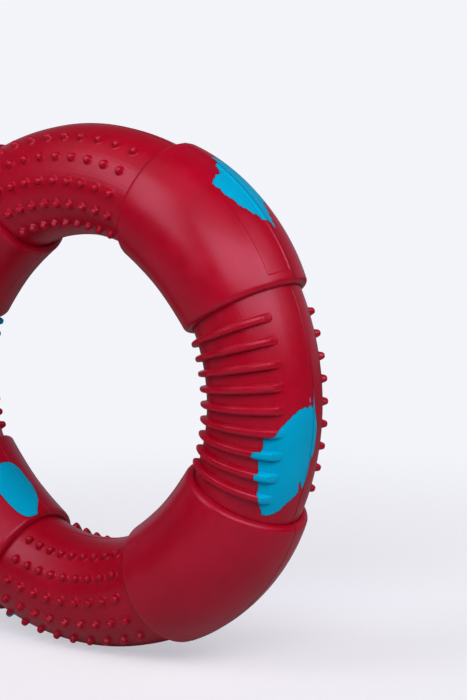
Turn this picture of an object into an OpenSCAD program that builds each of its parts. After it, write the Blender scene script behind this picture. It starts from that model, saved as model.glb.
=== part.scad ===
// Rubber chew ring: four textured chew sections, held end to end by four smooth cuffs,
// with thin patches of blue rubber let in flush with the red.
// The origin is the ring's centre. The ring stands upright with its axis along Y,
// the ribbed face of the right section looks along -Y, and +Z is up.

/* [Ring] */
// Distance from the ring's centre to the middle of the rubber
ring_r = 65; // [60:0.5:72]

/* [Sections] */
// Diameter of the bare rubber of a section
section_d = 34; // [31:0.5:36]
// Length of section that shows between two cuffs, along the middle of the rubber
section_len = 56.7; // [52:0.1:62]
// Distance from a cuff to the middle of the first rib or nub
texture_margin = 6; // [5:0.1:8]

/* [Cuffs] */
// Thickness of a cuff's wall, which is how far it stands proud of a section
cuff_wall = 3.4; // [2.6:0.1:4]
// Radius of the rounded shoulder at each end of a cuff
shoulder_r = 1.8; // [1:0.1:2.2]
// Bond line between two pieces of rubber
bond_gap = 0.05; // [0.02:0.01:0.1]

/* [Ribs] */
// Number of ribs on the ribbed face of a section
rib_count = 9; // [5:1:10]
// Width of a rib at its foot
rib_foot_w = 2.9; // [2.6:0.1:3.6]
// Width of a rib's round top
rib_top_w = 2.2; // [1.4:0.1:2.5]
// Height of a rib
rib_h = 1.95; // [1.5:0.05:2.5]
// Length of a rib round the section, from tip to tip
rib_len = 32.6; // [24:0.2:36]

/* [Nubs] */
// Number of nubs in one row along a section
nub_count = 9; // [5:1:10]
// Number of rows of nubs
nub_rows = 5; // [3:1:5]
// Distance between two rows, measured round the section
nub_row_pitch = 7.3; // [6:0.1:8]
// Diameter of a nub at its foot
nub_foot_d = 3; // [2.6:0.1:3.6]
// Diameter of a nub's round top
nub_top_d = 2.4; // [1.4:0.1:2.5]
// Height of a nub
nub_h = 1.95; // [1.5:0.05:2.5]

/* [Parting line] */
// Width of the line where the two halves of the mould met
seam_w = 0.6; // [0.3:0.05:1]
// Height of that line
seam_h = 0.2; // [0.1:0.05:0.4]
// Length that the line on a section stops short of the cuff
seam_stop = 0.8; // [0.6:0.1:2]

/* [Label plate] */
// Length of the bare plate on the upper right cuff, along the ring
plate_len = 51; // [40:0.5:52]
// Width of the plate, measured round the cuff
plate_w = 9; // [7:0.5:9.5]
// Distance from the parting line to the middle of the plate
plate_place = 5.4; // [5.4:0.1:7]
// How far the plate is sunk below the cuff's surface
plate_depth = 0.2; // [0.1:0.05:0.4]

/* [Blue patches] */
// Depth of a patch below the surface
patch_t = 1.5; // [1:0.1:2]
// Length of the patch on the right section, along the ring
right_patch_len = 37; // [20:1:38]
// Width of the patch on the right section, round the tube
right_patch_w = 20; // [12:1:22]
// Length of the patch on the upper right cuff, as a share of the cuff's outer length
upper_right_patch_len_share = 0.55; // [0.3:0.01:0.6]
// Width of the patch on the upper right cuff
upper_right_patch_w = 19; // [10:1:22]
// Length of the patch on the lower left cuff, as a share of the cuff's inner length
lower_left_patch_len_share = 0.73; // [0.4:0.01:0.8]
// Width of the patch on the lower left cuff
lower_left_patch_w = 14; // [8:1:18]
// Length of the patch on the lower right cuff, as a share of the cuff's inner length
lower_right_patch_len_share = 0.62; // [0.35:0.01:0.66]
// Width of the patch on the lower right cuff
lower_right_patch_w = 14; // [8:1:18]
// Length of the patch on the bottom section
bottom_patch_len = 10; // [8:1:10]
// Width of the patch on the bottom section
bottom_patch_w = 12; // [10:1:12]
// Length of the patch on the left section
left_patch_len = 12; // [10:1:12]
// Width of the patch on the left section
left_patch_w = 12; // [10:1:12]

/* [Hidden] */

red = [0.67, 0.04, 0.13];
cuff_red = [0.72, 0.06, 0.16];
blue = [0.02, 0.62, 0.78];

// Facets of the large rounds and of the small ones
$fn = 96;
small_fn = 24;

// Directions round the ring, in degrees: the right is 0 and the top 90
quarter = 90;
right_turn = 0;
top_turn = quarter;
left_turn = 2 * quarter;
bottom_turn = -quarter;

// The faces of the ring: the front looks along -Y
front = 1;
back = -1;

section_r = section_d / 2;
cuff_r = section_r + bond_gap + cuff_wall;

// How far a rib, nub or seam runs down into the rubber that carries it
root = rib_top_w / 2;
// How far a cutting shape runs past what it cuts
overrun = 2 * (rib_h + nub_h);

function degrees_of(arc, r) = arc / r * 180 / PI;
function arc_of(degrees, r) = degrees / 180 * PI * r;
// Half width of a tapered rib or nub where its root ends, below the surface
function root_r(foot_r, top_r, h) = foot_r + (foot_r - top_r) * root / (h - top_r);

section_half = degrees_of(section_len / 2, ring_r);
cuff_half = quarter / 2 - section_half;
cuff_body_half = cuff_half - degrees_of(shoulder_r, ring_r);
texture_half = section_half - degrees_of(texture_margin, ring_r);
rib_half = degrees_of((rib_len - rib_foot_w) / 2, section_r);
seam_half = section_half - degrees_of(seam_stop, ring_r - section_r);
row_angle = degrees_of(nub_row_pitch, section_r);

// Places along a section of a given number of ribs or nubs
function spread(count) = [for (i = [0 : count - 1]) texture_half * (2 * i / (count - 1) - 1)];
// Places of the nub rows round the tube, from the middle of a face
function rows() = [for (i = [0 : nub_rows - 1]) row_angle * (i - (nub_rows - 1) / 2)];

// Length of a cuff between its shoulders, on the outside and on the inside of the ring
cuff_outer_len = arc_of(2 * cuff_body_half, ring_r + cuff_r);
cuff_inner_len = arc_of(2 * cuff_body_half, ring_r - cuff_r);
upper_right_patch_len = upper_right_patch_len_share * cuff_outer_len;
lower_left_patch_len = lower_left_patch_len_share * cuff_inner_len;
lower_right_patch_len = lower_right_patch_len_share * cuff_inner_len;

// The lower left patch starts at the cuff's shoulder, and its length runs on from there
lower_left_patch_turn = bottom_turn - quarter / 2 + cuff_body_half
                        - degrees_of(bond_gap + lower_left_patch_len / 2, ring_r - cuff_r);

// Each patch's middle: its angle round the ring, then its angle round the tube, where 0 is
// the outermost line and 90 the middle of the front face
right_patch_turns = [-10, 30];
upper_right_patch_turns = [47.2, -3];
lower_left_patch_turns = [lower_left_patch_turn, 170];
lower_right_patch_turns = [-57, 182];
bottom_patch_turns = [-109.5, 23];
left_patch_turns = [162, -144];

// Outline of each patch, as shares of its length along the ring and its width round the tube
right_patch_shares = [[0.5, -0.38], [0.4, -0.22], [0.32, 0.04], [0.2, 0.16], [0.13, 0.36], [0.04, 0.38],
                      [0, 0.5], [-0.07, 0.4], [-0.2, 0.42], [-0.34, 0.33], [-0.48, 0.24], [-0.5, 0.1],
                      [-0.33, -0.28], [-0.26, -0.42], [0, -0.47], [0.3, -0.5]];
upper_right_patch_shares = [[0.5, -0.02], [0.37, 0.14], [0.25, 0.27], [0.18, 0.46], [0.08, 0.45], [0.01, 0.47],
                            [-0.09, 0.41], [-0.22, 0.33], [-0.31, 0.24], [-0.39, 0.14], [-0.5, 0],
                            [-0.4, -0.08], [-0.26, -0.17], [-0.18, -0.28], [-0.16, -0.43], [-0.03, -0.5],
                            [0.21, -0.47], [0.41, -0.3]];
lower_left_patch_shares = [[0.5, -0.14], [0.48, -0.3], [0.3, -0.46], [0, -0.46], [-0.26, -0.5],
                           [-0.46, -0.3], [-0.5, 0.06], [-0.42, 0.32], [-0.24, 0.44], [0, 0.46],
                           [0.16, 0.38], [0.34, 0.16]];
round_patch_shares = [[0.5, -0.06], [0.4, 0.26], [0.2, 0.46], [-0.14, 0.5], [-0.4, 0.3], [-0.5, -0.04],
                      [-0.36, -0.36], [-0.06, -0.5], [0.28, -0.42]];

// Stands up a ring that is drawn lying in the XY plane with its front upwards
module upright() {
  rotate([90, 0, 0]) children();
}

// Moves a shape to the middle of the rubber at an angle round the ring
module at_ring(turn) {
  rotate([0, 0, turn]) translate([ring_r, 0, 0]) children();
}

// Moves a shape that is drawn upwards onto the tube, at an angle round the tube
module on_tube(turn, around, r) {
  at_ring(turn) rotate([0, -around, 0]) translate([r, 0, 0]) rotate([0, 90, 0]) children();
}

// A bent bar of round rubber
module tube(r, from, sweep) {
  rotate([0, 0, from]) rotate_extrude(angle = sweep) translate([ring_r, 0]) circle(r);
}

// The parting line on the outside and the inside of a bent bar
module seam(r, from, sweep) {
  rotate([0, 0, from]) rotate_extrude(angle = sweep) {
    translate([ring_r + r - root, -seam_w / 2]) square([root + seam_h, seam_w]);
    translate([ring_r - r - seam_h, -seam_w / 2]) square([root + seam_h, seam_w]);
  }
}

// A tapered stud with a round top that stands on the rubber, or a part turn of one
module stud(foot_r, top_r, h, sweep) {
  rotate_extrude(angle = sweep, $fn = small_fn) {
    polygon([[0, -root], [root_r(foot_r, top_r, h), -root], [top_r, h - top_r], [0, h - top_r]]);
    translate([0, h - top_r]) intersection() {
      circle(top_r);
      square(top_r);
    }
  }
}

module rib_profile() {
  foot_r = rib_foot_w / 2;
  top_r = rib_top_w / 2;
  deep_r = root_r(foot_r, top_r, rib_h);
  polygon([[-root, -deep_r], [rib_h - top_r, -top_r], [rib_h - top_r, top_r], [-root, deep_r]]);
  translate([rib_h - top_r, 0]) circle(top_r, $fn = small_fn);
}

module rib_end() {
  translate([section_r, 0, 0]) rotate([0, 90, 0]) stud(rib_foot_w / 2, rib_top_w / 2, rib_h, 180);
}

// One rib round the middle of a face, with half a stud as each of its ends
module rib(turn, face) {
  at_ring(turn) rotate([90, 0, 0]) {
    rotate([0, 0, face * quarter - rib_half])
      rotate_extrude(angle = 2 * rib_half) translate([section_r, 0]) rib_profile();
    rotate([0, 0, face * quarter + rib_half]) rib_end();
    rotate([0, 0, face * quarter - rib_half]) mirror([0, 1, 0]) rib_end();
  }
}

module ribs(middle, face) {
  for (place = spread(rib_count)) rib(middle + place, face);
}

module nubs(middle, face) {
  for (place = spread(nub_count), row = rows())
    on_tube(middle + place, face * quarter + row, section_r)
      stud(nub_foot_d / 2, nub_top_d / 2, nub_h, 360);
}

// A quarter of the ring: bare at both ends, which sit inside the cuffs
module section(middle, ribbed_face) {
  tube(section_r, middle - quarter / 2, quarter);
  seam(section_r, middle - seam_half, 2 * seam_half);
  ribs(middle, ribbed_face);
  nubs(middle, -ribbed_face);
}

// The disc with a rounded rim that ends a cuff, and its root inside the sleeve
module cuff_shoulder() {
  rotate_extrude() {
    translate([0, -shoulder_r]) square([cuff_r - shoulder_r, 2 * shoulder_r]);
    translate([cuff_r - shoulder_r, 0]) intersection() {
      circle(shoulder_r);
      square(shoulder_r);
    }
  }
}

module cuff_bore() {
  tube(section_r + bond_gap, 0, 360);
}

// A smooth sleeve over the joint of two sections
module cuff(middle) {
  difference() {
    union() {
      tube(cuff_r, middle - cuff_body_half, 2 * cuff_body_half);
      seam(cuff_r, middle - cuff_body_half, 2 * cuff_body_half);
      for (end = [-1, 1])
        at_ring(middle + end * cuff_body_half) rotate([-end * quarter, 0, 0]) cuff_shoulder();
    }
    cuff_bore();
  }
}

// The shallow recess that the plate leaves where the mould was engraved
module plate_recess(middle) {
  half_len = degrees_of(plate_len / 2, ring_r + cuff_r);
  low = degrees_of(plate_place - plate_w / 2, cuff_r);
  high = degrees_of(plate_place + plate_w / 2, cuff_r);
  reach = 2 * cuff_r;
  rotate([0, 0, middle - half_len]) rotate_extrude(angle = 2 * half_len) translate([ring_r, 0])
    intersection() {
      difference() {
        circle(cuff_r + root);
        circle(cuff_r - plate_depth);
      }
      polygon([[0, 0], [reach * cos(low), reach * sin(low)], [reach * cos(high), reach * sin(high)]]);
    }
}

// The outline of a patch, carried straight out from the middle of the rubber
module patch_prism(turns, len, w, shares, r) {
  on_tube(turns[0], turns[1], 0) linear_extrude(r + overrun)
    polygon([for (share = shares) [-share[1] * w, share[0] * len]]);
}

// The skin of a section or cuff that lies inside a patch's outline
module patch(turns, len, w, shares, r) {
  difference() {
    intersection() {
      children();
      patch_prism(turns, len, w, shares, r);
    }
    tube(r - patch_t + bond_gap, 0, 360);
  }
}

// The shallow pocket that a patch fills
module pocket(turns, len, w, shares, r) {
  difference() {
    patch_prism(turns, len, w, shares, r);
    tube(r - patch_t, 0, 360);
  }
}

module right_section_shape() {
  section(right_turn, front);
}

module bottom_section_shape() {
  section(bottom_turn, back);
}

module left_section_shape() {
  section(left_turn, front);
}

module upper_right_cuff_shape() {
  difference() {
    cuff(right_turn + quarter / 2);
    plate_recess(right_turn + quarter / 2);
  }
}

module lower_right_cuff_shape() {
  cuff(right_turn - quarter / 2);
}

module lower_left_cuff_shape() {
  cuff(bottom_turn - quarter / 2);
}

module top_section() {
  color(red) upright() section(top_turn, back);
}

module right_section() {
  color(red) upright() difference() {
    right_section_shape();
    pocket(right_patch_turns, right_patch_len, right_patch_w,
           right_patch_shares, section_r);
  }
}

module bottom_section() {
  color(red) upright() difference() {
    bottom_section_shape();
    pocket(bottom_patch_turns, bottom_patch_len, bottom_patch_w,
           round_patch_shares, section_r);
  }
}

module left_section() {
  color(red) upright() difference() {
    left_section_shape();
    pocket(left_patch_turns, left_patch_len, left_patch_w,
           round_patch_shares, section_r);
  }
}

module upper_right_cuff() {
  color(cuff_red) upright() difference() {
    upper_right_cuff_shape();
    pocket(upper_right_patch_turns, upper_right_patch_len, upper_right_patch_w,
           upper_right_patch_shares, cuff_r);
  }
}

module lower_right_cuff() {
  color(cuff_red) upright() difference() {
    lower_right_cuff_shape();
    pocket(lower_right_patch_turns, lower_right_patch_len, lower_right_patch_w,
           round_patch_shares, cuff_r);
  }
}

module lower_left_cuff() {
  color(cuff_red) upright() difference() {
    lower_left_cuff_shape();
    pocket(lower_left_patch_turns, lower_left_patch_len, lower_left_patch_w,
           lower_left_patch_shares, cuff_r);
  }
}

module upper_left_cuff() {
  color(cuff_red) upright() cuff(top_turn + quarter / 2);
}

module right_section_patch() {
  color(blue) upright()
    patch(right_patch_turns, right_patch_len, right_patch_w,
          right_patch_shares, section_r)
      right_section_shape();
}

module bottom_section_patch() {
  color(blue) upright()
    patch(bottom_patch_turns, bottom_patch_len, bottom_patch_w,
          round_patch_shares, section_r)
      bottom_section_shape();
}

module left_section_patch() {
  color(blue) upright()
    patch(left_patch_turns, left_patch_len, left_patch_w,
          round_patch_shares, section_r)
      left_section_shape();
}

module upper_right_cuff_patch() {
  color(blue) upright()
    patch(upper_right_patch_turns, upper_right_patch_len, upper_right_patch_w,
          upper_right_patch_shares, cuff_r)
      upper_right_cuff_shape();
}

module lower_right_cuff_patch() {
  color(blue) upright()
    patch(lower_right_patch_turns, lower_right_patch_len, lower_right_patch_w,
          round_patch_shares, cuff_r)
      lower_right_cuff_shape();
}

module lower_left_cuff_patch() {
  color(blue) upright()
    patch(lower_left_patch_turns, lower_left_patch_len, lower_left_patch_w,
          lower_left_patch_shares, cuff_r)
      lower_left_cuff_shape();
}

top_section();
right_section();
bottom_section();
left_section();
upper_right_cuff();
lower_right_cuff();
lower_left_cuff();
upper_left_cuff();
right_section_patch();
bottom_section_patch();
left_section_patch();
upper_right_cuff_patch();
lower_right_cuff_patch();
lower_left_cuff_patch();
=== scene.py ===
import math

import bpy
import numpy as np
from mathutils import Euler, Matrix, Vector, noise
from mathutils.geometry import delaunay_2d_cdt


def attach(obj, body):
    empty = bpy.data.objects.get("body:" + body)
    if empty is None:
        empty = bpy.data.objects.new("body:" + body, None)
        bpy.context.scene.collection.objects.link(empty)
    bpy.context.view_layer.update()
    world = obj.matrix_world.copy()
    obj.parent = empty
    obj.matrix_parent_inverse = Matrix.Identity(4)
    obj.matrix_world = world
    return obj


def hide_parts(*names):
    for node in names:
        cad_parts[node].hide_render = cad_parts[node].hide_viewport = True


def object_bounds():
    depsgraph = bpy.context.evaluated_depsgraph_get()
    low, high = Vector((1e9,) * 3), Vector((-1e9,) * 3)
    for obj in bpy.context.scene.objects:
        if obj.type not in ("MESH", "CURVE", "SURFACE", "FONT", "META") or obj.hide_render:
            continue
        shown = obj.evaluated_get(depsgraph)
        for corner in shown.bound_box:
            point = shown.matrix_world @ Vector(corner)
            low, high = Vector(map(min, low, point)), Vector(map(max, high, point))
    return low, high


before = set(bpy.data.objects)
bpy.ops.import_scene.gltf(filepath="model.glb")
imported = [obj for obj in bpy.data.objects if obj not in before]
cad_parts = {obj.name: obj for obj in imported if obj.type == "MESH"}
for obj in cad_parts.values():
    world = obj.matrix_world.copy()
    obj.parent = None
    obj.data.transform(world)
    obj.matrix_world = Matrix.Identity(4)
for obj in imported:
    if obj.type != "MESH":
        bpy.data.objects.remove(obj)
cad_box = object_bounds()


# Chew sections
# Four quarter lengths of solid satin rubber, cast in a mould of two halves that met on the ring's
# outermost and innermost lines. Each has nine ribs on one face and rows of small nubs on the other,
# and its plain ends meet its neighbours' ends inside the cuffs.
mm = 0.001
quarter = math.pi / 2
ring_r = 65 * mm
section_r = 17 * mm
section_half_turn = math.radians(44.9)
texture_turn = math.radians(39.4)
rib_count = 9
rib_len = 32.6 * mm
rib_foot = 2.9 * mm
rib_h = 1.95 * mm
rib_taper = 4.5 * mm
rib_narrowing = 0.26
rib_tip_share = 0.2
nub_count = 9
nub_rows = 5
nub_row_pitch = 7.3 * mm
nub_foot = 3.5 * mm
nub_h = 1.85 * mm
seam_w = 0.55 * mm
seam_h = 0.16 * mm
seam_stop_turn = math.radians(24.3)
seam_fade_turn = 0.004

# Shape of a rib or nub from the middle of its underside over its rim to its top, as shares of
# half its foot and of its height
rib_foot_shares = [0, 1, 1, 0.98, 0.95, 0.88, 0.74, 0.47, 0]
nub_foot_shares = [0, 1, 1, 0.8, 0.69, 0.62, 0.5, 0.3, 0]
height_shares = [-0.5, -0.5, -0.03, 0.08, 0.32, 0.58, 0.81, 0.955, 1]

# How finely the rubber is meshed: points to a quarter of a rib's or nub's rim, rows and columns of a
# section's bar, how far these are drawn towards the parting lines, where along the grid its end rows
# lie, how close points are joined, and the sharpest crease that is still shaded smooth
rib_rim_points = 26
nub_rim_points = 6
bar_points = 145
crowding = 0.4
end_row = 0.4999
merge_gap = 0.001 * mm
soft_crease = math.radians(66)


def add_node(tree, kind, inputs=(), **settings):
    """Adds a node, feeds it with sockets or plain values, and returns its first output."""
    made = tree.nodes.new(kind)
    for name, value in settings.items():
        setattr(made, name, value)
    pairs = inputs.items() if isinstance(inputs, dict) else enumerate(inputs)
    for place, value in pairs:
        if isinstance(value, bpy.types.NodeSocket):
            tree.links.new(value, made.inputs[place])
        elif value is not None:
            made.inputs[place].default_value = value
    return made.outputs[0]


def reckon(tree, operation, *values):
    return add_node(tree, "ShaderNodeMath", values, operation=operation)


def vector(tree, x, y, z):
    return add_node(tree, "ShaderNodeCombineXYZ", (x, y, z))


def split(tree, value):
    node = add_node(tree, "ShaderNodeSeparateXYZ", (value,)).node
    return node.outputs[0], node.outputs[1], node.outputs[2]


def ramp(tree, value, start, end, low=0.0, high=1.0, rise="LINEAR"):
    """Goes from low to high while the value goes from start to end."""
    return add_node(tree, "ShaderNodeMapRange", (value, start, end, low, high), interpolation_type=rise)


def share_curve(tree, value, shares):
    """Follows a table of shares from its first to its last while the value goes from 0 to 1."""
    low, high = min(shares), max(shares)
    made = add_node(tree, "ShaderNodeFloatCurve", (1.0, value)).node
    curve = made.mapping.curves[0]
    for i, share in enumerate(shares):
        place = (i / (len(shares) - 1), (share - low) / (high - low))
        if i in (0, len(shares) - 1):
            point = curve.points[0 if i == 0 else -1]
            point.location = place
        else:
            point = curve.points.new(*place)
        point.handle_type = "VECTOR"
    made.mapping.update()
    return reckon(tree, "MULTIPLY_ADD", made.outputs[0], high - low, low)


def merged(tree, shape, place):
    """Moves a grid's points to their places and joins those that meet, which closes the shape."""
    shape = add_node(tree, "GeometryNodeSetPosition", {"Geometry": shape, "Position": place})
    return add_node(tree, "GeometryNodeMergeByDistance", {"Geometry": shape, "Distance": merge_gap})


def raised_shape(tree, shares, foot, height, tube_r, rim_points, length=0.0, taper=None, narrowing=None,
                 face=None):
    """A closed rib or nub in the frame of the tube's middle, standing on the outermost line. A rib
    follows the tube's round, narrows towards its inner end and sinks towards its outer one. A nub
    has no length."""
    grid = add_node(tree, "GeometryNodeMeshGrid", (1, 1, len(shares), 4 * rim_points + 1))
    x, y, _ = split(tree, add_node(tree, "GeometryNodeInputPosition"))
    up = reckon(tree, "ADD", x, 0.5)

    # A lap of the rim is four even stretches: round an end, along a side, round the other end and back
    lap = reckon(tree, "ADD", y, 0.5)
    half_turns = reckon(tree, "ADD", ramp(tree, lap, 0, 0.25), ramp(tree, lap, 0.5, 0.75))
    angle = reckon(tree, "MULTIPLY_ADD", half_turns, math.pi, -quarter)
    side = reckon(tree, "ADD", ramp(tree, lap, 0.25, 0.5, 1, -1), ramp(tree, lap, 0.75, 1, 0, 2))

    out = reckon(tree, "MULTIPLY", share_curve(tree, up, shares), reckon(tree, "DIVIDE", foot, 2))
    rise = reckon(tree, "MULTIPLY", share_curve(tree, up, height_shares), height)
    if taper:
        inward = reckon(tree, "MULTIPLY", side, reckon(tree, "SIGN", face))
        narrow = reckon(tree, "MULTIPLY", ramp(tree, inward, -1, 1), narrowing)
        out = reckon(tree, "MULTIPLY", out, reckon(tree, "SUBTRACT", 1, narrow))
    straight = reckon(tree, "DIVIDE", reckon(tree, "SUBTRACT", length, foot), 2)
    straight = reckon(tree, "MAXIMUM", straight, 0)
    across = reckon(tree, "MULTIPLY", side, straight)
    across = reckon(tree, "MULTIPLY_ADD", reckon(tree, "COSINE", angle), out, across)
    around = reckon(tree, "DIVIDE", across, tube_r)
    if taper:
        outward = reckon(tree, "MULTIPLY", across, reckon(tree, "SIGN", face))
        left = reckon(tree, "ADD", reckon(tree, "DIVIDE", length, 2), outward)
        left = reckon(tree, "DIVIDE", left, taper)
        sunk = ramp(tree, left, 0.0, 1.0, rib_tip_share, 1.0, "SMOOTHERSTEP")
        rise = reckon(tree, "MULTIPLY", rise, sunk)
    reach = reckon(tree, "ADD", rise, tube_r)
    place = vector(
        tree,
        reckon(tree, "MULTIPLY", reckon(tree, "COSINE", around), reach),
        reckon(tree, "MULTIPLY", reckon(tree, "SINE", around), reckon(tree, "MULTIPLY", reach, -1)),
        reckon(tree, "MULTIPLY", reckon(tree, "SINE", angle), out),
    )
    return merged(tree, grid, place)


def repeat(tree, shape, count, place, axis, first, step):
    """Copies a shape to the same place, each copy turned about an axis by one more step."""
    line = add_node(tree, "GeometryNodeMeshLine",
                    {"Count": count, "Start Location": place, "Offset": (0, 0, 0)})
    turn = reckon(tree, "MULTIPLY_ADD", add_node(tree, "GeometryNodeInputIndex"), step, first)
    turns = vector(tree, *(turn if name == axis else 0 for name in "XYZ"))
    rotation = add_node(tree, "FunctionNodeEulerToRotation", (turns,))
    copies = {"Points": line, "Instance": shape, "Rotation": rotation}
    return add_node(tree, "GeometryNodeInstanceOnPoints", copies)


def texture(tree, value, shape, count, rows, face):
    """Rows of a shape round one face of the tube, repeated along the section."""
    row_step = reckon(tree, "DIVIDE", value["Row pitch"], value["Section radius"])
    half_step = reckon(tree, "DIVIDE", row_step, 2)
    row_first = reckon(tree, "MULTIPLY", reckon(tree, "SUBTRACT", rows, 1), half_step)
    row_first = reckon(tree, "SUBTRACT", row_first, face)
    tube_middle = vector(tree, value["Ring radius"], 0, 0)
    back = reckon(tree, "MULTIPLY", row_step, -1)
    rows = repeat(tree, shape, rows, tube_middle, "Z", row_first, back)
    first = reckon(tree, "SUBTRACT", reckon(tree, "DIVIDE", value["Texture turn"], 2), value["Middle"])
    step = reckon(tree, "DIVIDE", value["Texture turn"], reckon(tree, "SUBTRACT", 1, count))
    return repeat(tree, rows, count, (0, 0, 0), "Y", first, step)


def bent_bar(tree, value):
    """The section's plain rubber: a closed bar on the ring's round, with its parting line."""
    grid = add_node(tree, "GeometryNodeMeshGrid", (1, 1, bar_points, bar_points))
    x, y, _ = split(tree, add_node(tree, "GeometryNodeInputPosition"))
    lap = reckon(tree, "MULTIPLY", y, 2 * math.pi)
    crowd = reckon(tree, "MULTIPLY", reckon(tree, "SINE", reckon(tree, "MULTIPLY", lap, 2)), -crowding)
    around = reckon(tree, "ADD", lap, crowd)
    along = reckon(tree, "MULTIPLY", x, bar_points / (bar_points - 2))
    along = add_node(tree, "ShaderNodeClamp", (along, -0.5, 0.5))
    turn = reckon(tree, "MULTIPLY", along, reckon(tree, "MULTIPLY", value["Half turn"], 2))

    off = reckon(tree, "MULTIPLY", reckon(tree, "SINE", around), value["Section radius"])
    near = reckon(tree, "DIVIDE", off, reckon(tree, "DIVIDE", value["Seam width"], 2))
    ridge = reckon(tree, "SUBTRACT", 1, reckon(tree, "MULTIPLY", near, near))
    ridge = reckon(tree, "MAXIMUM", ridge, 0)
    seam_end = reckon(tree, "ADD", value["Seam stop"], seam_fade_turn)
    stop = ramp(tree, reckon(tree, "ABSOLUTE", turn), value["Seam stop"], seam_end, 1, 0)
    ridge = reckon(tree, "MULTIPLY", reckon(tree, "MULTIPLY", ridge, stop), value["Seam height"])

    # The grid's first and last rows lie on the tube's middle, where they close the bar's ends
    on_wall = reckon(tree, "LESS_THAN", reckon(tree, "ABSOLUTE", x), end_row)
    reach = reckon(tree, "MULTIPLY", reckon(tree, "ADD", value["Section radius"], ridge), on_wall)
    big = reckon(tree, "MULTIPLY_ADD", reckon(tree, "COSINE", around), reach, value["Ring radius"])
    turn = reckon(tree, "ADD", turn, value["Middle"])
    place = vector(
        tree,
        reckon(tree, "MULTIPLY", big, reckon(tree, "COSINE", turn)),
        reckon(tree, "MULTIPLY", reckon(tree, "SINE", around), reckon(tree, "MULTIPLY", reach, -1)),
        reckon(tree, "MULTIPLY", big, reckon(tree, "SINE", turn)),
    )
    return merged(tree, grid, place)


def section_tree():
    """The node group that makes any of the four sections from its sizes and its place on the ring."""
    tree = bpy.data.node_groups.new("chew_section", "GeometryNodeTree")
    sizes = ["Ring radius", "Section radius", "Middle", "Half turn", "Texture turn", "Ribbed face",
             "Rib length", "Rib foot", "Rib height", "Rib taper", "Rib narrowing", "Row pitch", "Nub foot",
             "Nub height", "Seam width", "Seam height", "Seam stop"]
    for name in sizes:
        tree.interface.new_socket(name, in_out="INPUT", socket_type="NodeSocketFloat")
    for name in ("Rib count", "Nub count", "Nub rows"):
        tree.interface.new_socket(name, in_out="INPUT", socket_type="NodeSocketInt")
    tree.interface.new_socket("Material", in_out="INPUT", socket_type="NodeSocketMaterial")
    tree.interface.new_socket("Section", in_out="OUTPUT", socket_type="NodeSocketGeometry")
    value = {socket.name: socket for socket in tree.nodes.new("NodeGroupInput").outputs if socket.name}

    tube_r = value["Section radius"]
    ribbed_face = value["Ribbed face"]
    rib = raised_shape(tree, rib_foot_shares, value["Rib foot"], value["Rib height"], tube_r, rib_rim_points,
                       value["Rib length"], value["Rib taper"], value["Rib narrowing"], ribbed_face)
    nub = raised_shape(tree, nub_foot_shares, value["Nub foot"], value["Nub height"], tube_r, nub_rim_points)
    nub_face = reckon(tree, "MULTIPLY", ribbed_face, -1)
    ribs = texture(tree, value, rib, value["Rib count"], 1, ribbed_face)
    nubs = texture(tree, value, nub, value["Nub count"], value["Nub rows"], nub_face)

    joined = tree.nodes.new("GeometryNodeMeshBoolean")
    joined.operation = "UNION"
    joined.solver = "MANIFOLD"
    for part in (bent_bar(tree, value), ribs, nubs):
        whole = add_node(tree, "GeometryNodeRealizeInstances", (part,))
        tree.links.new(whole, joined.inputs["Mesh 2"])
    whole = add_node(tree, "GeometryNodeRealizeInstances", (joined.outputs[0],))
    crease = add_node(tree, "GeometryNodeInputMeshEdgeAngle")
    soft = add_node(tree, "FunctionNodeCompare", (crease, soft_crease), operation="LESS_THAN")
    smooth = add_node(tree, "GeometryNodeSetShadeSmooth", {"Geometry": whole, "Shade Smooth": soft},
                      domain="EDGE")
    finished = add_node(tree, "GeometryNodeSetMaterial", {"Geometry": smooth, "Material": value["Material"]})
    tree.links.new(finished, tree.nodes.new("NodeGroupOutput").inputs[0])
    return tree


def set_inputs(modifier, values):
    """Sets a modifier's inputs by the identifiers of its tree's named sockets."""
    for item in modifier.node_group.interface.items_tree:
        if item.in_out == "INPUT" and item.name in values:
            modifier[item.identifier] = values[item.name]


def placed(name, data):
    """An object in the scene, at the origin, for a mesh, a lamp or a camera."""
    made = bpy.data.objects.new(name, data)
    bpy.context.scene.collection.objects.link(made)
    return made


def plain_mesh(name, carrier):
    """Turns an object with its modifiers into a plain mesh object of that name."""
    depsgraph = bpy.context.evaluated_depsgraph_get()
    mesh = bpy.data.meshes.new_from_object(carrier.evaluated_get(depsgraph))
    mesh.name = name
    old = carrier.data
    bpy.data.objects.remove(carrier)
    bpy.data.meshes.remove(old)
    return placed(name, mesh)


def blend(tree, share, first, second):
    """A colour that goes from the first to the second as the share goes from 0 to 1."""
    made = add_node(tree, "ShaderNodeMix", {0: share, 6: first, 7: second}, data_type="RGBA")
    return made.node.outputs[2]


def grain(tree, place, size, detail, rough, start=None, full=None):
    """Random values between 0 and 1 that change over about the given size. With a start and a full
    value they are 0 below the one and 1 above the other."""
    inputs = {"Vector": place, "Scale": 1 / size, "Detail": detail, "Roughness": rough}
    made = add_node(tree, "ShaderNodeTexNoise", inputs)
    return made if start is None else ramp(tree, made, start, full)


# What makes the rubber uneven: each one's size, detail and roughness, then where it starts and is full
cloud_grain = (16 * mm, 4, 0.6, 0.3, 0.7)
bloom_grain = (4.5 * mm, 5, 0.65, 0.35, 0.75)
speck_grain = (1.1 * mm, 4, 0.6, 0.6, 0.78)
streak_grain = (1, 3, 0.55, 0.35, 0.7)
wave_grain = (11 * mm, 2, 0.4)
pore_grain = (0.35 * mm, 3, 0.6)

# How often the streaks change along the ring and round the tube, how far beside the outer parting line
# they reach, and how much of the deeper colour they bring
streaks_along, streaks_around = 9, 40
streak_turn, streak_end_turn = math.radians(12), math.radians(34)
streak_depth = 0.5

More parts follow.
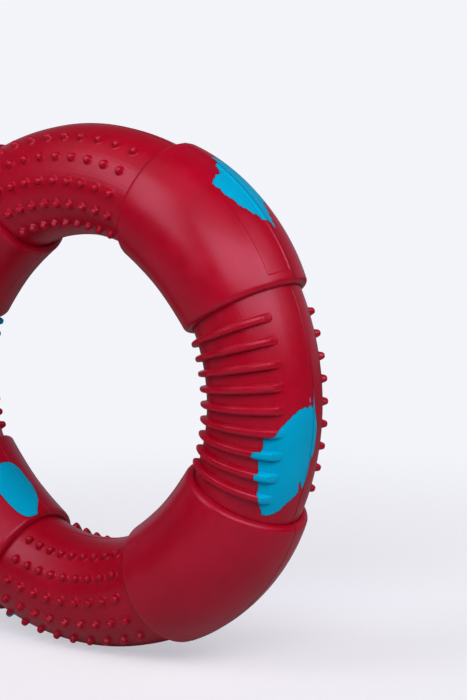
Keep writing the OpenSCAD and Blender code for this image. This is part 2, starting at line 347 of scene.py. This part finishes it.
# The dust is half patches and half specks. How dark the painted shade on the parting line and at a patch's
# edge is, where it comes in, and what is left of the deeper colour in it
speck_share = 0.5
seam_shade_depth, seam_shade_core, seam_shade_colour_share = 0.6, 0.35, 0.5
edge_shade_depth, edge_shade_start, edge_shade_colour_share = 0.55, 0.62, 0.25

# What each unevenness adds to the roughness, and how high it stands, in parts of the unevenness
bloom_gloss, streak_gloss = 0.08, 0.06
wave_height, pore_height, bloom_height, streak_height = 1.6, 0.1, 0.1, 0.25
unevenness = 0.05 * mm

# The rubber's plain reflection, and the thin dust that lights up where it is seen at a slant
reflection = 0.36
dust_share = 0.03
dust_roughness = 0.25
dust_colour = (1, 0.4, 0.7, 1)


def darker(colour, share):
    return [part * share for part in colour[:3]] + [1]


def moulded_rubber(name, colour, deep, bloom, shine, streak_share, bloom_share, roughness):
    """Satin rubber from a mould: uneven in tone, dulled by a dusty bloom, streaked along the ring beside
    the outer parting line where the flash was buffed off, with painted shade on that line and where another
    colour meets it."""
    material = bpy.data.materials.new(name)
    material.use_nodes = True
    tree = material.node_tree
    place = add_node(tree, "ShaderNodeTexCoord").node.outputs["Object"]
    x, y, z = split(tree, place)
    level = vector(tree, x, 0, z)
    flat = add_node(tree, "ShaderNodeVectorMath", (level,), operation="NORMALIZE")
    reach = add_node(tree, "ShaderNodeVectorMath", (level,), operation="LENGTH").node.outputs["Value"]
    out = reckon(tree, "SUBTRACT", reach, ring_r)
    around = reckon(tree, "ARCTAN2", reckon(tree, "MULTIPLY", y, -1), out)
    cos_turn, _, sin_turn = split(tree, flat)

    clouds = grain(tree, place, *cloud_grain)
    patches = grain(tree, place, *bloom_grain)
    specks = grain(tree, place, *speck_grain)
    pores = grain(tree, place, *pore_grain)
    waves = grain(tree, place, *wave_grain)

    # Streaks are long along the ring and a fraction of a millimetre wide round the tube
    long_way = vector(
        tree,
        reckon(tree, "MULTIPLY", cos_turn, streaks_along),
        reckon(tree, "MULTIPLY", sin_turn, streaks_along),
        reckon(tree, "MULTIPLY", around, streaks_around),
    )
    streaks = grain(tree, long_way, *streak_grain)
    off_turn = reckon(tree, "ABSOLUTE", around)
    beside_line = ramp(tree, off_turn, streak_turn, streak_end_turn, 1, 0)
    streaks = reckon(tree, "MULTIPLY", reckon(tree, "MULTIPLY", streaks, beside_line), streak_share)

    # Painted shade: the parting line on the outermost round is painted a little darker along its low ridge
    off_line = reckon(tree, "MULTIPLY", off_turn, section_r)
    line = ramp(tree, off_line, seam_w * seam_shade_core, seam_w, seam_shade_depth, 0)

    # Painted shade: both rubbers are painted darker close to a patch's edge, where the blue meets the red
    near_edge = add_node(tree, "ShaderNodeAttribute", attribute_name="edge_nearness").node.outputs["Fac"]
    painted_edge_shade = ramp(tree, near_edge, edge_shade_start, 1, 0, edge_shade_depth)

    tone = blend(tree, clouds, colour, deep)
    tone = blend(tree, reckon(tree, "MULTIPLY", streaks, streak_depth), tone, deep)
    dust = reckon(tree, "MULTIPLY", specks, speck_share)
    dust = reckon(tree, "MULTIPLY_ADD", patches, 1 - speck_share, dust)
    tone = blend(tree, reckon(tree, "MULTIPLY", dust, bloom_share), tone, bloom)
    # The next two blends are painted shade: along the parting line and at a patch's edge
    tone = blend(tree, line, tone, darker(deep, seam_shade_colour_share))
    tone = blend(tree, painted_edge_shade, tone, darker(deep, edge_shade_colour_share))
    gloss = reckon(tree, "MULTIPLY_ADD", patches, bloom_gloss, roughness)
    gloss = reckon(tree, "MULTIPLY_ADD", streaks, streak_gloss, gloss)
    height = reckon(tree, "MULTIPLY", pores, pore_height)
    height = reckon(tree, "MULTIPLY_ADD", waves, wave_height, height)
    height = reckon(tree, "MULTIPLY_ADD", patches, bloom_height, height)
    height = reckon(tree, "MULTIPLY_ADD", streaks, streak_height, height)
    relief = add_node(tree, "ShaderNodeBump", {"Strength": 1, "Distance": unevenness, "Height": height})

    shader = tree.nodes["Principled BSDF"]
    tree.links.new(tone, shader.inputs["Base Color"])
    tree.links.new(gloss, shader.inputs["Roughness"])
    tree.links.new(relief, shader.inputs["Normal"])
    shader.inputs["Specular IOR Level"].default_value = reflection
    shader.inputs["Specular Tint"].default_value = shine
    shader.inputs["Sheen Weight"].default_value = dust_share
    shader.inputs["Sheen Roughness"].default_value = dust_roughness
    shader.inputs["Sheen Tint"].default_value = dust_colour
    return material


red_shine = (1, 0.66, 0.95, 1)
red = moulded_rubber(
    "red_rubber", colour=(0.44, 0.0008, 0.017, 1), deep=(0.36, 0.0004, 0.011, 1),
    bloom=(0.47, 0.006, 0.034, 1), shine=red_shine, streak_share=1, bloom_share=0.35, roughness=0.28)

tree = section_tree()
pieces = {}
# Each section's place on the ring, and 1 where its ribs look to the front
sections = [("top", quarter, -1), ("right", 0.0, 1), ("bottom", -quarter, -1), ("left", 2 * quarter, 1)]
for name, middle, face in sections:
    carrier = placed("carrier", bpy.data.meshes.new("carrier"))
    modifier = carrier.modifiers.new("section", "NODES")
    modifier.node_group = tree
    set_inputs(modifier, {
        "Ring radius": ring_r, "Section radius": section_r, "Middle": middle,
        "Half turn": section_half_turn, "Texture turn": texture_turn, "Ribbed face": face * quarter,
        "Rib length": rib_len, "Rib foot": rib_foot, "Rib height": rib_h, "Rib taper": rib_taper,
        "Rib narrowing": rib_narrowing, "Row pitch": nub_row_pitch, "Nub foot": nub_foot,
        "Nub height": nub_h, "Seam width": seam_w, "Seam height": seam_h, "Seam stop": seam_stop_turn,
        "Rib count": rib_count, "Nub count": nub_count, "Nub rows": nub_rows, "Material": red,
    })
    pieces[name] = plain_mesh(f"{name}_section_rubber", carrier)
    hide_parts(f"{name}_section")
    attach(pieces[name], "root")


# Cuffs
# Four smooth sleeves of the same red rubber, moulded over the joints of the sections. Each swells a
# little towards its middle, ends in rounded shoulders that stand proud of the sections, and carries
# the mould's parting line. The upper right one has a shallow bare plate beside that line.
cuff_r = 20.45 * mm
cuff_end_r = 19.55 * mm
cuff_crown_power = 2.4
bore_r = section_r + 0.05 * mm
shoulder_r = 1.8 * mm
cuff_half_turn = math.radians(20.02)
cuff_seam_h = 0.7 * seam_h
plate_half_turn = math.radians(17.2)
plate_low = 0.9 * mm / cuff_r
plate_high = 9.9 * mm / cuff_r
plate_depth = 0.35 * mm
plate_edge = 0.3 * mm
cuff_rows, cuff_columns, bore_rows, shoulder_rows = 61, 168, 33, 8

# The extra rows and columns at a border of the plate, in widths of its edge, and how near to it the
# even rows, as a share of half the cuff, and the even columns, in the same widths, may come
row_places = np.array([-0.8, -0.5, 0.5, 0.8])
column_places = np.array([-0.3, 0, 1, 1.3])
row_gap = 0.015
column_gap = 3


def on_ring(turn, around, reach, onward=0):
    """A point by its turn round the ring, its turn round the tube from the outermost line towards
    the front, and its distance from the tube's middle, moved on straight along the ring."""
    big = ring_r + reach * np.cos(around)
    x = big * np.cos(turn) - onward * np.sin(turn)
    z = big * np.sin(turn) + onward * np.cos(turn)
    return np.stack(np.broadcast_arrays(x, -reach * np.sin(around), z), -1)


def crowded_turns(borders):
    """Turns round the tube that lie closer together at the parting lines, with extra ones on each
    side of a border."""
    edge = plate_edge / cuff_r
    lap = np.linspace(-math.pi, math.pi, cuff_columns, endpoint=False)
    turns = lap - crowding * np.sin(2 * lap)
    for border in borders:
        turns = turns[np.abs(turns - border) > column_gap * edge]
        turns = np.append(turns, border + column_places * edge)
    return np.sort(turns)


def cuff_outline(borders):
    """A cuff's wall seen along the tube: rows of turn from the cuff's middle, distance from the tube's
    middle, step straight on past that turn, and 1 on the outside."""
    body = cuff_half_turn - shoulder_r / ring_r
    lengths = np.linspace(-1, 1, cuff_rows)
    for border in borders:
        lengths = lengths[np.abs(lengths - border / body) > row_gap]
        lengths = np.append(lengths, (border + row_places * plate_edge / ring_r) / body)
    lengths = np.sort(lengths)
    crown = cuff_end_r + (cuff_r - cuff_end_r) * (1 - np.abs(lengths) ** cuff_crown_power)
    rim = cuff_end_r - shoulder_r
    shoulder = [(rim + shoulder_r * math.cos(a), shoulder_r * math.sin(a))
                for a in np.linspace(0, quarter, shoulder_rows)[1:]]
    rows = [(body * share, reach, 0, 1) for share, reach in zip(lengths, crown)]
    rows += [(body, reach, onward, 1) for reach, onward in shoulder]
    rows += [(body, bore_r, shoulder_r, 0)]
    rows += [(body * share, bore_r, 0, 0) for share in np.linspace(1, -1, bore_rows)]
    rows += [(-body, bore_r, -shoulder_r, 0)]
    rows += [(-body, reach, -onward, 1) for reach, onward in shoulder[::-1]]
    return np.array(rows)


smooth_red = moulded_rubber(
    "smooth_red_rubber", colour=(0.44, 0.0008, 0.018, 1), deep=(0.36, 0.0004, 0.012, 1),
    bloom=(0.49, 0.008, 0.038, 1), shine=red_shine, streak_share=0.5, bloom_share=0.4, roughness=0.28)


def cuff_mesh(name, middle, has_plate):
    around = crowded_turns((plate_low, plate_high) if has_plate else ())[None, :]
    outline = cuff_outline((-plate_half_turn, plate_half_turn) if has_plate else ())
    turn, reach, onward, outside = outline.T[:, :, None]
    near = np.sin(around) * reach / (seam_w / 2)
    ridge = np.maximum(1 - near**2, 0) * cuff_seam_h * outside
    sunk = 0
    if has_plate:
        half_edge = plate_edge / cuff_r / 2
        on_plate = (around > plate_low + half_edge) & (around < plate_high + half_edge)
        sunk = plate_depth * outside * on_plate * (np.abs(turn) < plate_half_turn) * (onward == 0)
    points = on_ring(middle + turn, around, reach + ridge - sunk, onward)
    corners = np.arange(points[..., 0].size).reshape(points.shape[:2])
    next_row = np.roll(corners, -1, 0)
    faces = [corners, next_row, np.roll(next_row, -1, 1), np.roll(corners, -1, 1)]
    mesh = bpy.data.meshes.new(name)
    mesh.from_pydata(points.reshape(-1, 3).tolist(), [], np.stack(faces, -1).reshape(-1, 4).tolist())
    mesh.shade_smooth()
    mesh.materials.append(smooth_red)
    return placed(name, mesh)


for name, middle in [("upper_right", 1), ("lower_right", -1), ("lower_left", -3), ("upper_left", 3)]:
    pieces[name] = cuff_mesh(f"{name}_cuff_rubber", middle * quarter / 2, name == "upper_right")
    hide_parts(f"{name}_cuff")
    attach(pieces[name], "root")


# Blue patches
# Thin pieces of blue rubber of the same feel as the red, let in flush with it, so that ribs and parting
# line run on over them. They lie where they happened to fall: their edges are ragged where the mould
# dragged them out along the ring, and each stops at the crease between a section and a cuff.
patch_t = 1.5 * mm
outline_step = 0.35 * mm
filling_step = 1.3 * mm
tool_reach = 2 * rib_h
curve_steps = 24
stroke_points = 14
inside_only, same_point = 1, 1e-9
edge_reach = 1 * mm
edge_search = 40 * mm
edge_chunks = 20

# A ragged edge is dragged twice as far along the ring as it is chipped across: the drags' length and
# width, and the chips' size and layer of the noise
drag_share = 2
drag_len, drag_w = 1.6 * mm, 0.45 * mm
chip_size, chip_layer = 0.7 * mm, 7

# The outlines are in degrees: the turn round the ring from its right side, then the turn round the
# tube from its outermost line towards the front
right_outline = [
    (0.4, 5.2), (0, 10.5), (0.3, 13.3), (-0.2, 19.6), (-0.7, 24.3), (-1.7, 30.9), (-2.9, 36), (-4, 41.6),
    (-5.9, 50.3), (-6.2, 56), (-8.3, 56), (-9, 59), (-9.2, 63.5), (-10, 66), (-11, 64), (-11.4, 59),
    (-12.6, 58), (-13.9, 57.2), (-14.2, 60), (-15.6, 59.3), (-16.3, 55), (-18, 52.8), (-18.7, 53),
    (-19.4, 51.5), (-21.2, 48.6), (-22.3, 44.4), (-23.3, 42.2), (-23.3, 36), (-22.8, 30.5), (-21.7, 24.1),
    (-20.5, 20.1), (-18.8, 11.3), (-18, 7.8), (-17.3, 8), (-15.9, 9.6), (-15.5, 8), (-16.3, 6),
    (-17.2, 1.5), (-16.1, 1), (-13.8, -0.2), (-10.8, -1.4), (-10.3, -5), (-9.1, -6.6), (-7, -7.2),
    (-4.6, -8.2), (-2.2, -5), (-0.7, -2.8), (0.4, -2.4), (2.2, -1.5), (4.2, -0.9), (2.2, 0.3), (0.4, 1),
    (-0.3, 2.6),
]
upper_right_outline = [
    (57.4, -4), (55.6, -2), (54.7, 4.6), (53.7, 5.6), (52.5, 8.7), (52.1, 13.8), (51.7, 18.2), (50.9, 22),
    (50.5, 25), (49.4, 24.9), (48.7, 22.9), (47.5, 23.8), (46.2, 22.5), (45.5, 20.5), (43.9, 18.9),
    (42.7, 16.2), (41.5, 12.9), (40.7, 11), (40.5, 7.7), (39.3, 5.5), (38.6, 1.3), (38.1, -1.5),
    (36.9, -4.2), (38.5, -5.4), (40.3, -8.2), (41.9, -10.9), (42.7, -11.8), (43.4, -17), (43.6, -27),
    (46.5, -31), (51.5, -30), (55.5, -20),
]
lower_left_outline = [
    (-142.9, 169), (-142.9, 175.5), (-142.2, 181), (-140.4, 185.6), (-137.7, 188), (-133.4, 189),
    (-130, 189), (-125.9, 186), (-121.3, 179.7), (-117.2, 170), (-115.4, 166.5), (-115.4, 162.3),
    (-115.9, 157.4), (-117.6, 153.8), (-121.8, 151.6), (-128.4, 151.3), (-134, 151.5), (-139.5, 156),
]
round_outline_shares = [
    (0.5, -0.06), (0.4, 0.26), (0.2, 0.46), (-0.14, 0.5), (-0.4, 0.3), (-0.5, -0.04), (-0.36, -0.36),
    (-0.06, -0.5), (0.28, -0.42),
]

# Where a little of the blue was dragged out beside a patch: its turns in degrees, length and width
right_strokes = [((1.5, 5.6), 1.6 * mm, 0.3 * mm)]


def round_outline(turn, around, length, width):
    """A rounded outline about a place, all in degrees."""
    return [(turn + length * u, around + width * v) for u, v in round_outline_shares]


def smooth_loop(points):
    """A closed curve through the points, with points at even steps."""
    before, after, beyond = np.roll(points, 1, 0), np.roll(points, -1, 0), np.roll(points, -2, 0)
    fine = []
    for t in np.linspace(0, 1, curve_steps, endpoint=False):
        a, b = -t + 2 * t**2 - t**3, 2 - 5 * t**2 + 3 * t**3
        c, d = t + 4 * t**2 - 3 * t**3, t**3 - t**2
        fine.append((before * a + points * b + after * c + beyond * d) / 2)
    fine = np.stack(fine, 1).reshape(-1, 2)
    fine = np.append(fine, fine[:1], 0)
    run = np.append(0, np.cumsum(np.linalg.norm(np.diff(fine, axis=0), axis=1)))
    steps = np.linspace(0, run[-1], int(run[-1] / outline_step), endpoint=False)
    return np.stack([np.interp(steps, run, fine[:, 0]), np.interp(steps, run, fine[:, 1])], 1)


def stroke(place, length, width):
    """A thin lens along the ring."""
    turns = np.linspace(0, 2 * math.pi, stroke_points, endpoint=False)
    return place + np.stack([np.cos(turns) * length / 2, np.sin(turns) ** 3 * width / 2], 1)


def inside(points, loop):
    """Which points lie within a loop."""
    x, y = points[:, :1], points[:, 1:]
    (x1, y1), (x2, y2) = loop.T, np.roll(loop, -1, 0).T
    crosses = ((y1 > y) != (y2 > y)) & (x < (x2 - x1) * (y - y1) / np.where(y2 == y1, 1, y2 - y1) + x1)
    return crosses.sum(1) % 2 == 1


cut_face = bpy.data.materials.new("cut_face")


def patch_tool(loops, scale, low, high):
    """A closed block between two distances from the tube's middle, with the loops as its outline."""
    evens = [np.arange(a, b, filling_step) for a, b in zip(loops[0].min(0), loops[0].max(0))]
    grid = np.stack(np.meshgrid(*evens), -1).reshape(-1, 2)
    gap = np.min(np.linalg.norm(grid[:, None] - loops[0][None], axis=2), 1)
    grid = grid[inside(grid, loops[0]) & (gap > filling_step / 2)]
    points, edges = [], []
    for loop in loops:
        edges += [(len(points) + i, len(points) + (i + 1) % len(loop)) for i in range(len(loop))]
        points += loop.tolist()
    points += grid.tolist()
    flat, _, faces = delaunay_2d_cdt([Vector(p) for p in points], edges, [], inside_only, same_point)[:3]
    flat = np.array(flat)
    count = len(flat)
    layers = [on_ring(flat[:, 0] / scale[0], flat[:, 1] / scale[1], reach) for reach in (low, high)]
    sides = {}
    for face in faces:
        for a, b in zip(face, face[1:] + face[:1]):
            if sides.pop((b, a), None) is None:
                sides[a, b] = True
    walls = [(a, b, b + count, a + count) for a, b in sides]
    blocks = [tuple(f[::-1]) for f in faces] + [tuple(i + count for i in f) for f in faces] + walls
    mesh = bpy.data.meshes.new("patch_tool")
    mesh.from_pydata(np.concatenate(layers).tolist(), [], blocks)
    mesh.shade_smooth()
    mesh.materials.append(cut_face)
    return placed("patch_tool", mesh)


def cut(name, host, tool, operation, material):
    """The host without the tool, or the two's common part, as a plain mesh."""
    carrier = placed("carrier", host.copy())
    modifier = carrier.modifiers.new("cut", "BOOLEAN")
    modifier.object, modifier.operation, modifier.solver = tool, operation, "MANIFOLD"
    modifier.material_mode = "TRANSFER"
    piece = plain_mesh(name, carrier)
    mesh = piece.data
    walls = np.zeros(len(mesh.polygons), np.int32)
    mesh.polygons.foreach_get("material_index", walls)
    walls = walls == mesh.materials.find(cut_face.name)
    sharp = mesh.attributes.new("sharp_edge", "BOOLEAN", "EDGE")
    sides = {}
    for face in mesh.polygons:
        for key in face.edge_keys:
            sides.setdefault(key, []).append(walls[face.index])
    sharp.data.foreach_set("value", [len(set(sides[edge.key])) > 1 for edge in mesh.edges])
    mesh.polygons.foreach_set("material_index", np.zeros(len(mesh.polygons), np.int32))
    mesh.materials.clear()
    mesh.materials.append(material)
    return piece


def edge_nearness(mesh, loop, scale):
    """How near each corner lies to the patch's outline: 1 on it, and 0 from a millimetre away."""
    points = np.zeros(len(mesh.vertices) * 3)
    mesh.vertices.foreach_get("co", points)
    x, y, z = points.reshape(-1, 3).T
    middle = loop.mean(0) / scale
    turns = np.stack([np.arctan2(z, x), np.arctan2(-y, np.hypot(x, z) - ring_r)], 1)
    turns = middle + (turns - middle + math.pi) % (2 * math.pi) - math.pi
    flat = turns * scale
    near = np.linalg.norm(flat - loop.mean(0), axis=1) < edge_search
    way = np.roll(loop, -1, 0) - loop
    nearness = np.zeros(len(flat))
    for chunk in np.array_split(np.flatnonzero(near), edge_chunks):
        offset = flat[chunk][:, None] - loop[None]
        share = np.clip((offset * way).sum(2) / (way**2).sum(1), 0, 1)
        gap = np.linalg.norm(offset - share[..., None] * way[None], axis=2).min(1)
        nearness[chunk] = np.maximum(1 - gap / edge_reach, 0)
    return nearness


blue = moulded_rubber(
    "blue_rubber", colour=(0.0, 0.41, 0.7, 1), deep=(0.0, 0.35, 0.62, 1), bloom=(0.0, 0.48, 0.74, 1),
    shine=(0.02, 0.9, 1, 1), streak_share=1, bloom_share=0.25, roughness=0.45)

# The piece each patch is let into, the node's name, its material's slot and its tube's radius, then the
# patch's outline and strokes, and how many millimetres ragged its edge is
patches = [
    ("right", "right_section", "red_rubber", section_r, right_outline, right_strokes, 0.22),
    ("bottom", "bottom_section", "red_rubber", section_r, round_outline(-109.5, 22, 7.2, 41), [], 0.15),
    ("left", "left_section", "red_rubber", section_r, round_outline(162, -144, 12, 41), [], 0.15),
    ("upper_right", "upper_right_cuff", "smooth_red_rubber", cuff_r, upper_right_outline, [], 0.4),
    ("lower_right", "lower_right_cuff", "smooth_red_rubber", cuff_r, round_outline(-57, 182, 22.4, 40), [],
     0.1),
    ("lower_left", "lower_left_cuff", "smooth_red_rubber", cuff_r, lower_left_outline, [], 0.04),
]
for host, node, red_slot, carrier_r, outline, strokes, ragged in patches:
    turns = np.radians(outline)
    scale = np.array([ring_r + carrier_r * math.cos(turns[:, 1].mean()), carrier_r])
    loop = smooth_loop(turns * scale)
    # Each patch is ragged in its own way, because its host's name picks its layer of the noise
    for i, (along, across) in enumerate(loop):
        drag = noise.noise(Vector((along / drag_len, across / drag_w, len(host))))
        chip = noise.noise(Vector((along / chip_size, chip_layer, across / chip_size)))
        loop[i] += np.array([drag_share * drag, chip]) * ragged * mm
    thin = [stroke(np.radians(place) * scale, length, width) for place, length, width in strokes]
    tool = patch_tool([loop, *thin], scale, carrier_r - patch_t, carrier_r + tool_reach)
    whole = pieces[host]
    name = whole.name
    blue_piece = cut(f"{node}_patch_rubber", whole.data, tool, "INTERSECT", blue)
    red_piece = cut(f"{name}_cut", whole.data, tool, "DIFFERENCE", whole.active_material)
    bpy.data.objects.remove(whole)
    bpy.data.objects.remove(tool)
    red_piece.name = name
    pieces[host] = red_piece
    for piece, replaced, slot in [(red_piece, node, red_slot), (blue_piece, f"{node}_patch", "blue_rubber")]:
        # The nearness to the patch's edge tells the rubber where to paint shade along that edge
        attribute = piece.data.attributes.new("edge_nearness", "FLOAT", "POINT")
        attribute.data.foreach_set("value", edge_nearness(piece.data, loop, scale))
        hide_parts(replaced)
        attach(piece, "root")


# Floor, light and camera
# A pale seamless floor that fades into a white backdrop, four soft lamps on the camera's side, a room
# that is bright behind the ring, and the camera where the photograph was taken.
backdrop = (0.897, 0.905, 0.948, 1)
floor_size = 6
floor_colour = (0.56, 0.54, 0.57, 1)
floor_glow = (0.49, 0.49, 0.53, 1)
fade_start, fade_end = 0.05, 0.4

# The floor's glow for the camera evens out the lamps' light: weaker near the camera, stronger beyond
glow_way = (-0.57, 0.82, 0)
glow_start, glow_end = -0.06, 0.06
glow_near, glow_far = 0.88, 1.14

# Each lamp's turn from straight in front towards the right and rise above the floor in degrees, its
# width and height in metres, and its watts
lamp_distance = 0.46
lamps = [("key_lamp", 55, 33.5, 0.6, 0.22, 1.64), ("left_lamp", -21, 36, 0.22, 0.32, 0.72),
         ("right_lamp", 100, 37, 0.27, 0.25, 0.25), ("top_lamp", -5, 66, 0.64, 0.28, 0.26)]


def along_way(tree, place, way):
    """How far a place lies along a way."""
    made = add_node(tree, "ShaderNodeVectorMath", (place, way), operation="DOT_PRODUCT")
    return made.node.outputs["Value"]


bpy.ops.mesh.primitive_plane_add(size=floor_size, location=(0, 0, cad_box[0][2]))
floor = bpy.context.object
pale = bpy.data.materials.new("pale_floor")
pale.use_nodes = True
tree = pale.node_tree
tree.nodes.clear()
seen = add_node(tree, "ShaderNodeLightPath").node.outputs["Is Camera Ray"]
place = add_node(tree, "ShaderNodeTexCoord").node.outputs["Object"]
reach = add_node(tree, "ShaderNodeVectorMath", (place,), operation="LENGTH").node.outputs["Value"]
matt = add_node(tree, "ShaderNodeBsdfDiffuse", (floor_colour,))
evened = ramp(tree, along_way(tree, place, glow_way), glow_start, glow_end, glow_near, glow_far)
glow = add_node(tree, "ShaderNodeEmission", (floor_glow, reckon(tree, "MULTIPLY", seen, evened)))
lit = add_node(tree, "ShaderNodeAddShader", (matt, glow))
fade = ramp(tree, reach, fade_start, fade_end, rise="SMOOTHSTEP")
fade = reckon(tree, "MULTIPLY", fade, seen)
whole = add_node(tree, "ShaderNodeMixShader", (fade, lit, add_node(tree, "ShaderNodeBsdfTransparent")))
tree.links.new(whole, tree.nodes.new("ShaderNodeOutputMaterial").inputs[0])
floor.data.materials.append(pale)

for name, turn, rise, width, height, watts in lamps:
    lamp = placed(name, bpy.data.lights.new(name, "AREA"))
    lamp.data.shape = "RECTANGLE"
    lamp.data.size, lamp.data.size_y, lamp.data.energy = width, height, watts
    turn, rise = math.radians(turn), math.radians(rise)
    way = Vector((math.cos(rise) * math.sin(turn), -math.cos(rise) * math.cos(turn), math.sin(rise)))
    lamp.location = way * lamp_distance
    lamp.rotation_euler = (-way).to_track_quat("-Z", "Y").to_euler()

# The room's own light is bright behind the ring and dim in front of it and above it, a little lilac,
# and the camera sees the plain backdrop in its place
behind_way = (-0.55, 0.83, 0)
behind_start, behind_end = 0.1, 0.75
room_dim, room_bright = 0.03, 0.42
above_start, above_end = 0.05, 0.6
above_share = 0.2
room_green, room_blue = 0.85, 1.08

world = bpy.data.worlds.new("studio")
world.use_nodes = True
tree = world.node_tree
seen = add_node(tree, "ShaderNodeLightPath").node.outputs["Is Camera Ray"]
way = add_node(tree, "ShaderNodeTexCoord").node.outputs["Generated"]
behind = along_way(tree, way, behind_way)
room = ramp(tree, behind, behind_start, behind_end, room_dim, room_bright, "SMOOTHSTEP")
high = ramp(tree, split(tree, way)[2], above_start, above_end, 1.0, above_share, "SMOOTHSTEP")
room = reckon(tree, "MULTIPLY", room, high)
green, blue_light = (reckon(tree, "MULTIPLY", room, share) for share in (room_green, room_blue))
shown = blend(tree, seen, vector(tree, room, green, blue_light), backdrop)
tree.links.new(shown, tree.nodes["Background"].inputs[0])
bpy.context.scene.world = world

camera_place = Vector((363.63, -443.88, 76.85)) * mm
camera_yaw, camera_pitch, camera_roll = (math.radians(a) for a in (34.9, 6.534, -0.456))
focal_px, long_side_px, sensor = 1841.1, 700, 36
nearest_seen = 10 * mm
camera = placed("camera", bpy.data.cameras.new("camera"))
camera.data.sensor_width = sensor
camera.data.lens = focal_px * sensor / long_side_px
camera.data.clip_start = nearest_seen
look = Euler((quarter - camera_pitch, 0, camera_yaw)).to_matrix() @ Matrix.Rotation(camera_roll, 3, "Z")
camera.location = camera_place
camera.rotation_euler = look.to_euler()
bpy.context.scene.camera = camera
bpy.context.scene.view_settings.view_transform = "Standard"
